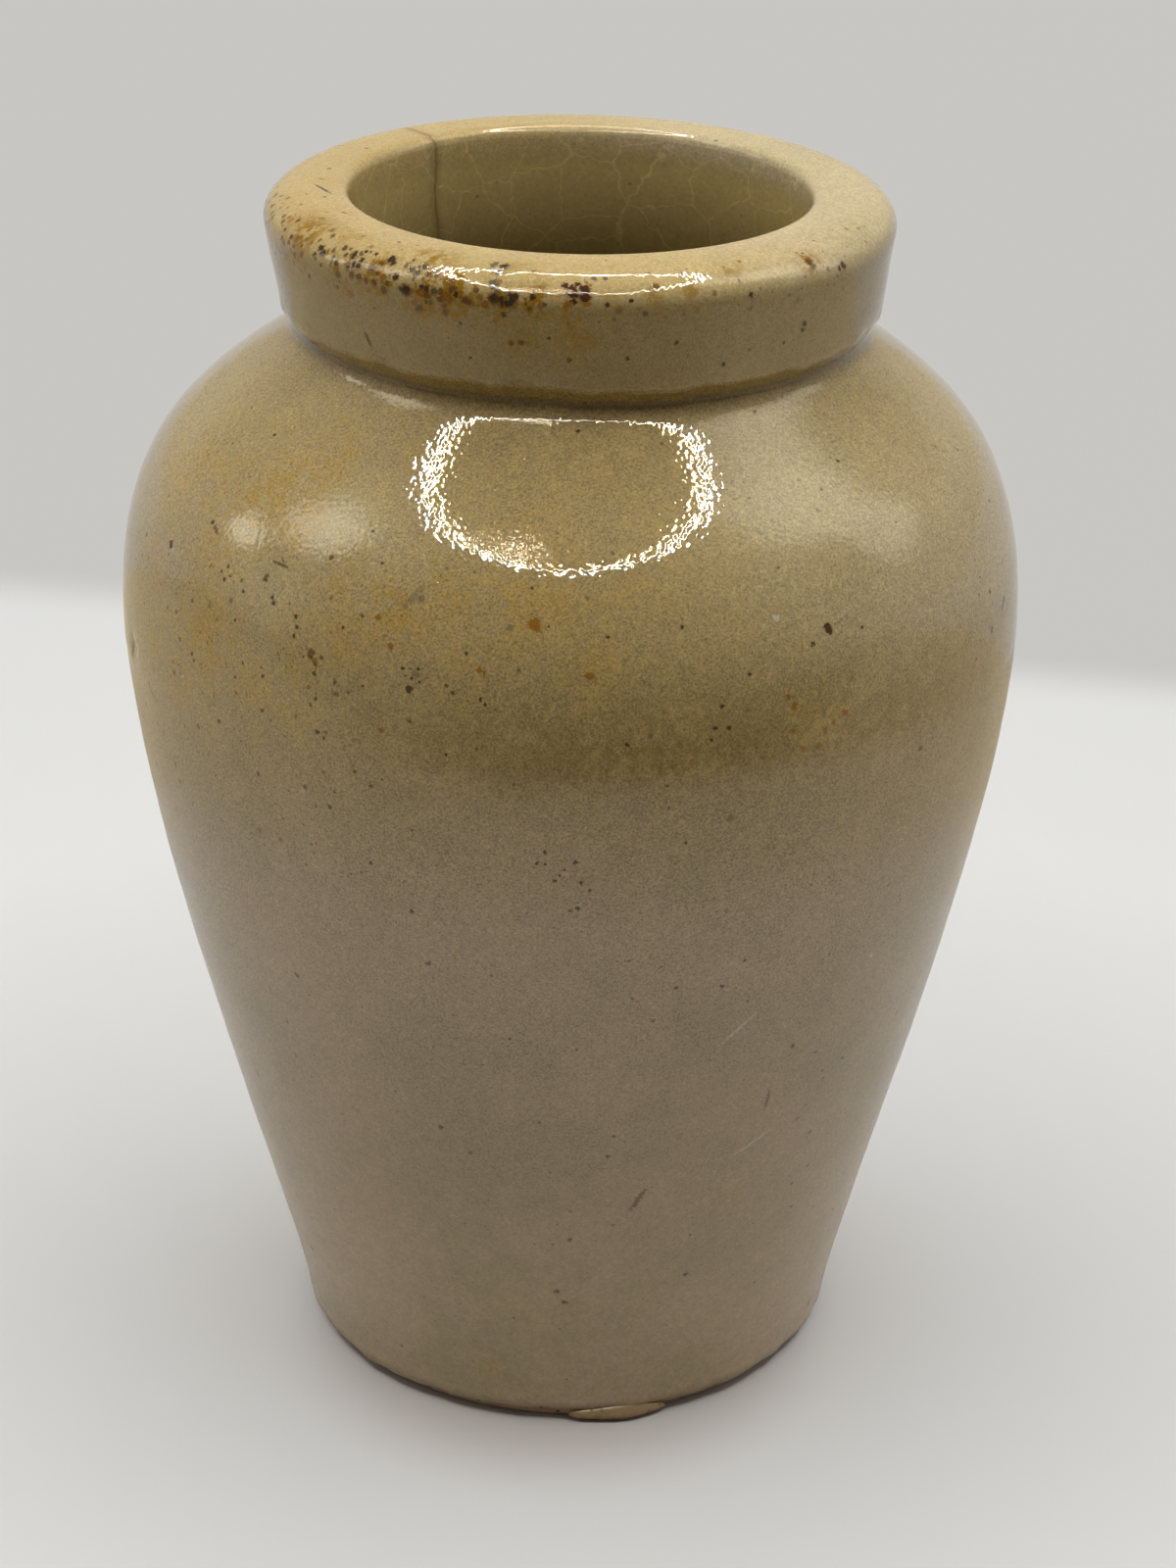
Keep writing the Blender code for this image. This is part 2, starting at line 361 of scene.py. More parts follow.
def places_of(items, field):
    """Places of a mesh's vertices or faces, in millimetres."""
    places = np.empty(len(items) * 3, np.float32)
    items.foreach_get(field, places)
    return places.reshape(-1, 3).astype(float) / MM


def store(mesh, name, kind, domain, values):
    attribute = mesh.attributes.new(name, kind, domain)
    field = {"FLOAT": "value", "FLOAT_VECTOR": "vector", "FLOAT_COLOR": "color"}[kind]
    attribute.data.foreach_set(field, np.ascontiguousarray(values, np.float32).ravel())


def make_camera():
    data = bpy.data.cameras.new("camera")
    data.lens = CAMERA_LENS
    data.sensor_width = SENSOR
    data.clip_start = 0.01
    camera = new_object("camera", data)
    turn = (Matrix.Rotation(math.radians(-CAMERA_YAW), 4, "Z")
            @ Matrix.Rotation(math.radians(90.0 - CAMERA_DROP), 4, "X")
            @ Matrix.Rotation(math.radians(CAMERA_ROLL), 4, "Z"))
    camera.matrix_world = Matrix.Translation(Vector(CAMERA_PLACE) * MM) @ turn
    bpy.context.scene.camera = camera
    return turn.to_3x3()


class Sight:
    """Finds the points of the glazed surface that pixels of the photograph show."""

    def __init__(self, turn):
        self.turn = turn
        self.origin = Vector(CAMERA_PLACE)
        lengths = np.arange(0.0, RUN.length[-1], 0.4)
        points, _, _ = grid(lengths, 240)
        rows, columns = points.shape[:2]
        index = np.arange(rows * columns).reshape(rows, columns)
        quads = np.stack([index[:-1], np.roll(index[:-1], -1, 1),
                          np.roll(index[1:], -1, 1), index[1:]], -1).reshape(-1, 4)
        self.tree = BVHTree.FromPolygons(points.reshape(-1, 3).tolist(), quads.tolist())

    def hit(self, pixel):
        """Point seen at a pixel, or where its ray passes nearest to the pot."""
        focal = CAMERA_LENS / SENSOR * PHOTO_SIZE[1]
        across = (pixel[0] - PHOTO_SIZE[0] / 2) / focal
        upward = (PHOTO_SIZE[1] / 2 - pixel[1]) / focal
        direction = (self.turn @ Vector((across, upward, -1.0))).normalized()
        point, _, _, _ = self.tree.ray_cast(self.origin, direction)
        if point is None:
            distance = -self.origin.dot(direction)
            point, _, _, _ = self.tree.find_nearest(self.origin + direction * distance)
        return point, (point - self.origin).length / focal


# Marks and stains on the pot, placed by pixel of the 1200 x 1600 photograph. Colours are linear
SOOT = (0.040, 0.026, 0.014)
IRON = (0.060, 0.018, 0.010)
BROWN = (0.120, 0.055, 0.014)
RUST = (0.270, 0.110, 0.008)
GREY = (0.130, 0.108, 0.070)
CHALK = (0.620, 0.560, 0.430)

# Round marks: colour, strength, then (x, y, diameter) in pixels
SPOTS = (
    # along the lip, from the left
    (SOOT, 0.92, (
        (328, 253, 8), (329, 258, 7), (362, 260, 8), (369, 266, 6), (400, 264, 8), (401, 268, 6),
        (414, 296, 9), (410, 295, 5), (430, 293, 4), (436, 295, 6), (321, 260, 5), (343, 269, 5),
        (291, 234, 4), (288, 243, 5), (297, 242, 5), (384, 259, 4), (374, 257, 4), (404, 283, 6),
        (466, 300, 5), (505, 304, 9), (511, 306, 6), (521, 305, 11), (518, 309, 7), (513, 310, 5),
        (515, 271, 8), (543, 303, 5), (514, 321, 4), (620, 311, 4), (821, 330, 6), (819, 336, 5),
        (766, 301, 5),
    )),
    (GREY, 0.90, (
        (505, 270, 8), (508, 277, 9), (516, 272, 8), (505, 289, 9), (506, 298, 5), (420, 275, 6),
        (425, 278, 7), (428, 272, 4), (443, 277, 6), (407, 247, 4), (606, 285, 5), (618, 284, 6),
        (545, 277, 4), (377, 274, 3), (627, 326, 3),
    )),
    (IRON, 0.95, (
        (585, 298, 12), (594, 297, 12), (597, 304, 9), (577, 291, 7), (589, 290, 8),
        (585, 307, 6), (355, 271, 6), (361, 270, 6), (366, 271, 7), (526, 302, 5), (860, 271, 8),
        (857, 274, 5), (174, 555, 8), (845, 641, 9), (644, 307, 4),
    )),
    (BROWN, 0.80, (
        (308, 259, 6), (295, 247, 5), (340, 263, 4), (353, 260, 4), (358, 254, 3), (304, 225, 5),
        (331, 201, 4), (287, 200, 4), (294, 202, 4), (366, 283, 7), (373, 286, 5), (382, 289, 5),
        (385, 279, 4), (395, 289, 5), (437, 280, 6), (449, 298, 6), (461, 295, 6), (452, 304, 5),
        (475, 306, 6), (478, 308, 5), (540, 315, 4), (555, 311, 4), (536, 310, 3), (336, 172, 4),
        (374, 151, 4), (669, 293, 8), (697, 280, 7), (826, 267, 6), (830, 272, 5), (532, 349, 5),
        (521, 350, 5), (581, 368, 5), (486, 296, 5), (300, 268, 4), (546, 634, 7), (939, 764, 5),
        (303, 995, 5), (809, 1067, 5), (568, 1318, 6), (576, 1329, 5), (318, 1273, 6),
        (825, 1329, 7), (690, 1008, 4), (450, 1150, 5), (620, 1180, 4), (700, 1300, 5),
        (338, 569, 5), (342, 696, 4), (455, 700, 4), (462, 707, 4), (493, 687, 5), (318, 666, 7),
    )),
    (RUST, 0.85, (
        (391, 285, 6), (303, 244, 4), (313, 244, 4), (334, 257, 5), (580, 310, 6), (600, 309, 5),
        (495, 311, 5), (602, 291, 4), (430, 299, 6), (442, 300, 5), (455, 302, 6), (418, 297, 5),
        (470, 301, 5), (490, 303, 5), (805, 711, 5), (810, 721, 6), (809, 746, 5), (819, 764, 5),
        (835, 761, 6), (842, 745, 5), (851, 737, 5), (862, 727, 6), (602, 690, 8), (490, 684, 7),
        (546, 638, 13), (386, 630, 5), (338, 610, 4), (398, 660, 6), (321, 675, 6),
    )),
    # over the belly and the side
    (SOOT, 0.85, (
        (1012, 643, 6), (1010, 604, 5), (217, 533, 5), (280, 444, 3), (233, 578, 4),
        (229, 591, 4), (226, 583, 3), (235, 588, 3), (271, 591, 5), (278, 609, 5), (279, 615, 5),
        (302, 629, 4), (303, 640, 4), (300, 649, 4), (196, 667, 4), (198, 673, 4), (171, 620, 3),
        (240, 633, 3), (240, 691, 3), (380, 542, 3), (411, 682, 4), (413, 689, 3), (418, 684, 4),
        (427, 683, 4), (420, 693, 4), (417, 703, 7), (428, 696, 3), (322, 713, 4), (324, 747, 5),
        (330, 753, 4), (491, 714, 4), (495, 719, 4), (476, 667, 3), (556, 870, 4), (548, 881, 4),
        (556, 882, 3), (587, 880, 4), (566, 899, 4), (571, 894, 3), (593, 901, 4), (602, 909, 3),
        (589, 927, 4), (576, 888, 3), (737, 721, 4), (730, 743, 4), (744, 743, 4), (726, 755, 3),
        (248, 603, 4), (543, 600, 3), (560, 640, 3), (390, 575, 3), (620, 650, 3), (696, 640, 4),
        (500, 560, 3), (765, 688, 4), (880, 640, 3), (640, 760, 4), (455, 770, 3), (700, 860, 3),
        (420, 930, 4), (760, 980, 3), (520, 1060, 3), (350, 640, 3), (370, 700, 3), (268, 690, 4),
        (590, 440, 4), (770, 420, 4), (855, 470, 4), (480, 365, 3), (690, 350, 4), (640, 366, 4),
        (738, 372, 4), (560, 345, 3), (470, 330, 3), (800, 350, 3),
    )),
    (GREY, 0.55, (
        (263, 1096, 6), (302, 1077, 5), (430, 610, 7), (520, 640, 6), (214, 617, 6),
        (745, 835, 7), (700, 520, 5), (424, 690, 8),
    )),
    (CHALK, 0.60, (
        (793, 630, 7), (186, 690, 5), (889, 975, 4), (176, 560, 5), (806, 213, 4),
    )),
)

# Long marks: colour, strength, (x, y) of both ends, width in pixels
DASHES = (
    (SOOT, 0.80, (372, 338), (379, 354), 3.5),
    (SOOT, 0.70, (280, 573), (295, 580), 3.0),
    (SOOT, 0.60, (288, 569), (290, 576), 2.5),
    (SOOT, 0.70, (270, 590), (274, 586), 4.0),
    (SOOT, 0.90, (323, 189), (337, 197), 3.0),
    (SOOT, 0.85, (324, 182), (331, 183), 2.0),
    (SOOT, 0.80, (326, 223), (331, 223), 2.0),
    (SOOT, 0.70, (349, 216), (353, 218), 2.5),
    (SOOT, 0.70, (272, 197), (270, 207), 4.0),
    (SOOT, 0.85, (1025, 608), (1022, 626), 6.0),
    (SOOT, 0.60, (134, 640), (137, 684), 6.0),
    (BROWN, 0.90, (314, 663), (324, 680), 6.0),
    (BROWN, 0.75, (218, 534), (222, 545), 4.0),
    (BROWN, 0.50, (152, 700), (160, 716), 4.0),
    (BROWN, 0.55, (785, 1112), (781, 1130), 4.0),
    (BROWN, 0.60, (657, 1216), (643, 1235), 5.0),
    (CHALK, 0.35, (737, 1064), (769, 1036), 4.0),
    (CHALK, 0.35, (748, 1179), (784, 1154), 4.0),
    (GREY, 0.35, (430, 600), (412, 622), 7.0),
)

# Hollows and blisters with a shape of their own: (x, y), width, and height out of the glaze
RELIEFS = (
    ((588, 297), 1.3, 0.10),
    ((512, 276), 1.0, -0.07),
    ((512, 305), 1.2, 0.06),
    ((136, 660), 1.6, -0.22),
    ((793, 630), 0.8, -0.08),
    ((546, 636), 0.9, 0.05),
    ((419, 694), 1.3, -0.05),
    ((573, 893), 2.4, -0.05),
    ((174, 555), 0.8, -0.10),
    ((1024, 618), 0.9, -0.08),
    ((845, 641), 0.8, 0.04),
)

# Soft stains by kind: (x, y), radius in millimetres, strength. The cream patches are partly a paler
# glaze and partly a painted highlight, where the soft boxes' sheen falls on the shoulders
STAINS = {
    "cream": (
        ((255, 532), 3.4, 0.90), ((352, 528), 4.2, 0.80), ((300, 500), 5.0, 0.60),
        ((225, 445), 7.0, 0.50), ((335, 440), 6.0, 0.40), ((390, 585), 4.0, 0.50),
        ((290, 600), 3.0, 0.40), ((800, 490), 7.5, 0.60), ((870, 480), 7.0, 0.60),
        ((800, 560), 4.5, 0.60), ((240, 420), 5.0, 0.40),
    ),
    "ochre": (
        ((215, 470), 5.0, 0.55), ((270, 500), 5.0, 0.60), ((330, 470), 4.5, 0.55),
        ((297, 535), 3.0, 0.80), ((225, 550), 3.0, 0.50), ((195, 640), 4.0, 0.75),
        ((215, 660), 3.5, 0.70), ((180, 690), 2.5, 0.55), ((350, 590), 3.0, 0.45),
        ((400, 620), 3.5, 0.75), ((355, 648), 3.0, 0.55), ((460, 600), 3.5, 0.60),
        ((520, 620), 4.0, 0.55), ((560, 600), 4.0, 0.55), ((600, 680), 3.0, 0.50),
        ((250, 700), 3.5, 0.45), ((290, 735), 3.0, 0.40), ((530, 540), 5.0, 0.30),
        ((290, 500), 3.0, 0.50), ((160, 570), 3.5, 0.50), ((235, 640), 2.5, 0.55),
        ((300, 660), 3.0, 0.50), ((150, 640), 3.0, 0.50), ((240, 560), 2.0, 0.40),
        ((480, 680), 4.0, 0.35), ((640, 600), 4.0, 0.35), ((830, 735), 3.0, 0.35),
        ((745, 1225), 1.6, 0.35), ((504, 1396), 1.3, 0.60), ((610, 520), 6.0, 0.20),
        ((420, 450), 6.0, 0.25), ((880, 430), 6.0, 0.15), ((600, 330), 3.5, 0.25),
        ((470, 340), 3.5, 0.20), ((540, 1330), 3.0, 0.20), ((700, 800), 5.0, 0.10),
    ),
    "rim_yellow": (
        ((310, 240), 2.2, 0.45), ((345, 270), 2.2, 0.55), ((385, 285), 1.9, 0.75),
        ((425, 298), 1.7, 0.95), ((465, 302), 1.7, 1.00), ((505, 308), 1.6, 1.00),
        ((545, 307), 1.4, 0.65), ((585, 314), 1.2, 0.60), ((625, 311), 1.0, 0.35),
        ((665, 305), 1.0, 0.30), ((705, 295), 1.0, 0.35), ((745, 277), 1.2, 0.28),
        ((440, 265), 2.0, 0.40), ((520, 275), 1.8, 0.15), ((826, 269), 0.9, 0.90),
        ((860, 283), 0.9, 0.35), ((590, 345), 1.6, 0.30), ((532, 350), 1.4, 0.35),
    ),
    "rim_peach": (
        ((285, 205), 2.6, 0.75), ((300, 230), 2.6, 0.70), ((330, 185), 3.0, 0.55),
        ((335, 215), 2.6, 0.60), ((370, 165), 3.0, 0.45), ((350, 240), 2.4, 0.45),
        ((275, 235), 2.0, 0.60), ((410, 250), 2.0, 0.35), ((420, 148), 2.6, 0.25),
    ),
}

# The same on the far side: (angle in degrees, level), radius, strength
HIDDEN_STAINS = {
    "cream": (((140, 80), 8.0, 0.45), ((60, 76), 7.0, 0.40), ((100, 72), 5.0, 0.30)),
    "ochre": (((150, 74), 6.0, 0.55), ((165, 66), 4.0, 0.50), ((110, 78), 6.0, 0.45),
              ((85, 70), 4.5, 0.55), ((60, 80), 5.0, 0.40), ((25, 76), 5.0, 0.35),
              ((125, 66), 3.5, 0.40), ((40, 68), 3.5, 0.30)),
    "rim_yellow": (((150, 100), 2.4, 0.35), ((95, 100), 2.2, 0.30), ((35, 99), 2.2, 0.35)),
    "rim_peach": (((170, 101), 2.8, 0.40), ((75, 101), 2.4, 0.25)),
}

# Scattered marks: count, range of angles and of levels, range of widths, colours to draw from
SCATTERED = (
    (90, (-10.0, 190.0), (10.0, 90.0), (0.25, 0.75), (SOOT, SOOT, BROWN, RUST)),
    (40, (-10.0, 190.0), (96.5, 101.9), (0.25, 0.60), (SOOT, BROWN, BROWN, RUST)),
    (130, (-172.0, -108.0), (56.0, 78.0), (0.16, 0.38), (SOOT, BROWN, BROWN, RUST)),
    (150, (-215.0, -112.0), (98.3, 101.9), (0.24, 0.55), (BROWN, BROWN, RUST, SOOT)),
    (50, (-110.0, -20.0), (98.3, 101.9), (0.18, 0.36), (BROWN, RUST, GREY, GREY)),
    (60, (-110.0, -10.0), (20.0, 90.0), (0.20, 0.38), (SOOT, BROWN, GREY, GREY)),
)
SCATTER_SEED = 11


class Mark:
    """One small mark on the glaze: where it is, how long and wide, and its colour."""

    def __init__(self, colour, strength, centre, width, along=(0.0, 0.0, 1.0), length=None):
        self.colour = colour
        self.strength = strength
        self.centre = np.array(centre, float)
        self.radius = width / 2
        self.along = np.array(along, float)
        self.stretch = max(1.0, (length or width) / width)


def point_on_outside(angle, level):
    lengths = np.linspace(0.0, CREST_LENGTH, 900)
    radius, levels = RUN.at(lengths)
    length = np.interp(level, np.maximum.accumulate(levels), lengths)
    return surface(np.array([length]), np.array([angle]))[0]


def seen_marks(sight):
    marks = []
    for colour, strength, spots in SPOTS:
        for x, y, diameter in spots:
            point, scale = sight.hit((x, y))
            marks.append(Mark(colour, strength, point, diameter * scale))
    for colour, strength, start, end, width in DASHES:
        first, scale = sight.hit(start)
        last, _ = sight.hit(end)
        span = last - first
        marks.append(Mark(colour, strength, (first + last) / 2, width * scale,
                          span.normalized(), span.length))
    return marks


def scattered_marks():
    """Specks and iron spots strewn over the glaze, besides those placed one by one."""
    draw = random.Random(SCATTER_SEED)
    marks = []
    for count, angles, levels, widths, colours in SCATTERED:
        for _ in range(count):
            angle = math.radians(draw.uniform(*angles))
            level = draw.uniform(*levels)
            width = widths[0] + (widths[1] - widths[0]) * draw.random() ** 1.8
            point = point_on_outside(angle, level)
            marks.append(Mark(draw.choice(colours), draw.uniform(0.5, 0.85), point, width))
    return marks


def stain_amount(points, stains):
    amount = np.zeros(len(points))
    for centre, radius, strength in stains:
        distance = np.linalg.norm(points - np.array(centre), axis=1)
        falloff = strength * np.exp(-(distance / radius) ** 2)
        amount = np.maximum(amount, falloff) + 0.25 * falloff
    return amount


def placed_stains(sight):
    placed = {}
    for kind, stains in STAINS.items():
        found = [(sight.hit(pixel)[0], radius, strength) for pixel, radius, strength in stains]
        for (angle, level), radius, strength in HIDDEN_STAINS[kind]:
            centre = point_on_outside(math.radians(angle), level)
            found.append((centre, radius, strength))
        placed[kind] = found
    return placed


def store_marks(mesh, marks):
    """Gives each face its nearest mark, which the material then draws round the mark's centre."""
    centres = places_of(mesh.polygons, "center")
    best = np.full(len(centres), np.inf)
    centre = np.zeros((len(centres), 3))
    along = np.zeros((len(centres), 3))
    flattening = np.zeros(len(centres))
    radius = np.ones(len(centres))
    colour = np.zeros((len(centres), 4))
    for mark in marks:
        offset = centres - mark.centre
        near = np.nonzero(np.abs(offset).max(axis=1) < mark.radius * mark.stretch * 2 + 1.0)[0]
        offset = offset[near]
        share = 1.0 - 1.0 / mark.stretch ** 2
        distance = np.sqrt((offset ** 2).sum(1) - share * (offset @ mark.along) ** 2)
        ratio = distance / mark.radius
        closer = near[(distance < mark.radius * 1.6 + 0.7) & (ratio < best[near])]
        best[closer] = ratio[np.isin(near, closer)]
        centre[closer] = mark.centre
        along[closer] = mark.along
        flattening[closer] = share
        radius[closer] = mark.radius
        colour[closer] = (*mark.colour, mark.strength)
    store(mesh, "mark_centre", "FLOAT_VECTOR", "FACE", centre)
    store(mesh, "mark_along", "FLOAT_VECTOR", "FACE", along)
    store(mesh, "mark_flattening", "FLOAT", "FACE", flattening)
    store(mesh, "mark_radius", "FLOAT", "FACE", radius)
    store(mesh, "mark_colour", "FLOAT_COLOR", "FACE", colour)


def glaze_fields(points, length, angle):
    """How strongly each look shows at every point of the glazed surface."""
    above_dip = length - DIP_LENGTH - dip_shift(angle)
    left = smoothstep(-0.2, 0.9, -np.cos(angle))
    blur = 1.6 + 3.5 * left
    warmth = 0.72 * smoothstep(-blur - 3.0 * left, blur, above_dip) \
        + 0.28 * smoothstep(-24.0, 3.0, above_dip)
    # painted light: the upper coat turns lighter up the shoulder, where light from above falls, a
    # little less near the neck
    lit_crown = smoothstep(DIP_LENGTH + 3.0, DIP_LENGTH + 14.0, length) \
        * (1 - 0.45 * smoothstep(NECK_LENGTH - 13.0, NECK_LENGTH - 3.0, length))
    wavy = length + collar_edge_shift(angle) * 1.6
    olive = smoothstep(NECK_LENGTH + 0.15, NECK_LENGTH + 0.5, wavy) \
        * (1 - smoothstep(COLLAR_EDGE_LENGTH - 0.25, COLLAR_EDGE_LENGTH + 0.05, wavy))
    # the neck crease: pooled glaze and painted shade, darkest right at the neck
    crease = np.exp(-((length - NECK_LENGTH) / 1.1) ** 2)
    pale = smoothstep(-0.1, 0.85, np.cos(angle - PALE_TOWARDS))
    collar = 0.9 * smoothstep(COLLAR_EDGE_LENGTH - 0.2, COLLAR_EDGE_LENGTH + 0.8, length)
    inside = smoothstep(MOUTH_LENGTH + 0.1, MOUTH_LENGTH + 3.0, length)
    rim = smoothstep(LIP_START_LENGTH - 0.5, LIP_START_LENGTH + 1.6, length) * (1 - inside)
    # pooled glaze and painted shade: the liner darkens towards the bottom of the mouth
    pooled_and_shaded = smoothstep(MOUTH_LENGTH - 2.0, MOUTH_LENGTH + 15.0, length)
    crack = np.hypot(points[..., 0], points[..., 1]) * np.sin(angle - CRACK_ANGLE)
    reach = (length > LIP_START_LENGTH + 1.0) & (length < MOUTH_LENGTH + CRACK_DEPTH)
    facing = np.cos(angle - CRACK_ANGLE) > 0
    crack = np.where(reach & facing, crack, 9.0)
    return {"left": left, "warmth": warmth, "olive": olive, "crease": crease, "collar": collar,
            "inside": inside, "rim": rim, "pale": pale, "pooled_and_shaded": pooled_and_shaded, "crack": crack,
            "lit_crown": lit_crown}


def push_reliefs(points, outward, reliefs):
    """Raises blisters and sinks hollows where the glaze has them."""
    for centre, width, height in reliefs:
        distance = np.linalg.norm(points - np.array(centre), axis=-1)
        points = points + (height * np.exp(-(distance / width * 1.6) ** 2))[..., None] * outward
    return points


def glaze_shell(name, start, end, material, marks, stains, reliefs):
    """A closed shell of glaze between two lengths along the run."""
    front, length, angle = grid(ring_lengths(start, end, ZONES), AROUND)
    out_radius, out_level = RUN.outward(length)
    outward = np.stack([out_radius * np.cos(angle), out_radius * np.sin(angle), out_level], -1)
    front = push_reliefs(front, outward, reliefs)
    back_lengths = ring_lengths(start, end, ((end, HIDDEN_STEP),))[::-1]
    back, _, _ = grid(back_lengths, AROUND, GLAZE)
    on_floor = end >= RUN.length[-1]
    poles = ()
    if on_floor:
        front, length, angle, back = front[:-1], length[:-1], angle[:-1], back[1:]
        poles = (on_axis(FLOOR_LEVEL - GLAZE), on_axis(FLOOR_LEVEL))
    mesh = make_mesh(name, np.concatenate([back, front]), not on_floor, *poles)
    points = places_of(mesh.vertices, "co")
    first = back.shape[0] * AROUND
    for key, value in glaze_fields(front, length, angle).items():
        unseen = 1.0 if on_floor and key in ("inside", "pooled_and_shaded") else 0.0
        full = np.full(len(points), unseen)
        full[first:first + value.size] = value.ravel()
        store(mesh, key, "FLOAT", "POINT", full)
    for kind, placed in stains.items():
        store(mesh, kind, "FLOAT", "POINT", stain_amount(points, placed))
    store_marks(mesh, marks)
    return add_piece(name, mesh, material)


class Nodes:
    """Shader nodes of one material, added and linked in one go."""

    def __init__(self, tree):
        self.tree = tree

    def add(self, kind, inputs=None, **settings):
        node = self.tree.nodes.new(kind)
        for key, value in settings.items():
            setattr(node, key, value)
        for key, value in (inputs or {}).items():
            self.set(node.inputs[key], value)
        return node

    def set(self, socket, value):
        if isinstance(value, bpy.types.NodeSocket):
            self.tree.links.new(value, socket)
        else:
            socket.default_value = value

    def math(self, operation, first, second=0.0, clamp=False):
        node = self.add("ShaderNodeMath", {0: first, 1: second}, operation=operation)
        node.use_clamp = clamp
        return node.outputs[0]

    def times(self, first, second, clamp=False):
        return self.math("MULTIPLY", first, second, clamp)

    def plus(self, first, second):
        return self.math("ADD", first, second)

    def vector(self, operation, first, second=(0.0, 0.0, 0.0), scale=1.0):
        inputs = {0: first}
        if operation == "SCALE":
            inputs["Scale"] = scale
        else:
            inputs[1] = second
        node = self.add("ShaderNodeVectorMath", inputs, operation=operation)
        name = "Value" if operation in ("DOT_PRODUCT", "LENGTH") else "Vector"
        return node.outputs[name]

    def step(self, value, low, high, start=0.0, end=1.0):
        """From start to end, smoothly, as the value goes from low to high."""
        inputs = {"Value": value, "From Min": low, "From Max": high, "To Min": start, "To Max": end}
        node = self.add("ShaderNodeMapRange", inputs, interpolation_type="SMOOTHSTEP")
        return node.outputs["Result"]

    def mix(self, share, first, second):
        """One colour over another. A colour is a tuple or a socket, and a share a number too."""
        node = self.add("ShaderNodeMix", data_type="RGBA")
        for index, value in ((0, share), (6, first), (7, second)):
            if index and isinstance(value, tuple):
                value = (*value[:3], 1.0)
            self.set(node.inputs[index], value)
        return node.outputs[2]

    def noise(self, place, size, detail=2.0, roughness=0.5):
        """Noise whose blotches are about so many millimetres across."""
        inputs = {"Vector": place, "Scale": 1.0 / size, "Detail": detail, "Roughness": roughness}
        return self.add("ShaderNodeTexNoise", inputs).outputs["Fac"]

    def attribute(self, name, output="Fac"):
        return self.add("ShaderNodeAttribute", attribute_name=name).outputs[output]

    def millimetres(self):
        coordinates = self.add("ShaderNodeTexCoord").outputs["Object"]
        return self.vector("SCALE", coordinates, scale=1.0 / MM)

    def height(self, place):
        return self.add("ShaderNodeSeparateXYZ", {0: place}).outputs["Z"]

    def cells(self, place, size, feature="F1"):
        inputs = {"Vector": place, "Scale": 1.0 / size}
        return self.add("ShaderNodeTexVoronoi", inputs, feature=feature).outputs["Distance"]

    def bump(self, height, distance, normal=None):
        inputs = {"Height": height, "Distance": distance * MM, "Strength": 1.0}
        if normal is not None:
            inputs["Normal"] = normal
        return self.add("ShaderNodeBump", inputs).outputs["Normal"]


def new_material(name):
    material = bpy.data.materials.new(name)
    material.use_nodes = True
    nodes = Nodes(material.node_tree)
    shader = material.node_tree.nodes["Principled BSDF"]
    return material, nodes, shader


# Colours of the glaze and the clay, linear
LOWER_COAT = (0.350, 0.270, 0.149)
LOWER_COAT_PINK = (0.368, 0.274, 0.160)
UPPER_COAT = (0.268, 0.186, 0.066)
UPPER_COAT_LIT_CROWN = (0.385, 0.286, 0.128)
UPPER_COAT_LEFT = (0.405, 0.305, 0.155)
UPPER_COAT_PALE = (0.425, 0.330, 0.178)
UPPER_COAT_BLOOM = (0.420, 0.300, 0.120)
COLLAR_COAT = (0.278, 0.202, 0.084)
RIM_COAT = (0.520, 0.385, 0.168)
RIM_COAT_PALE = (0.540, 0.435, 0.250)
CREAM_STAIN_AND_SHEEN = (0.500, 0.400, 0.215)
OCHRE_STAIN = (0.400, 0.258, 0.066)
YELLOW_STAIN = (0.270, 0.145, 0.014)
PEACH_STAIN = (0.480, 0.310, 0.120)
OLIVE_GLAZE = (0.262, 0.168, 0.040)
CREASE_POOL_AND_SHADE = (0.128, 0.084, 0.030)
LINER_COAT = (0.570, 0.425, 0.165)
POOLED_GLAZE_AND_SHADE = (0.070, 0.040, 0.004)
SPECK = (0.070, 0.042, 0.018)
CRACK_STAIN = (0.110, 0.060, 0.020)
FOOT_EDGE = (0.190, 0.105, 0.045)
DRIP_AMBER = (0.200, 0.090, 0.015)
DRIP_CREAM = (0.300, 0.210, 0.100)
CLAY = (0.500, 0.360, 0.220)
CLAY_DARK = (0.400, 0.260, 0.140)
CLAY_TOASTED = (0.200, 0.085, 0.030)
CLAY_GRIT = (0.090, 0.050, 0.030)
GLAZE_IOR = 1.50
MARK_RAGGED = 3.2
CRAZE_OUTSIDE = (5.0, 0.08)
CRAZE_INSIDE = (4.6, 0.60)


def specks(nodes, place, size, radius, softness):
    """Small dots, where random cell middles come near the surface."""
    edge = radius / size
    return nodes.step(nodes.cells(place, size), edge, edge * (1.0 - softness))


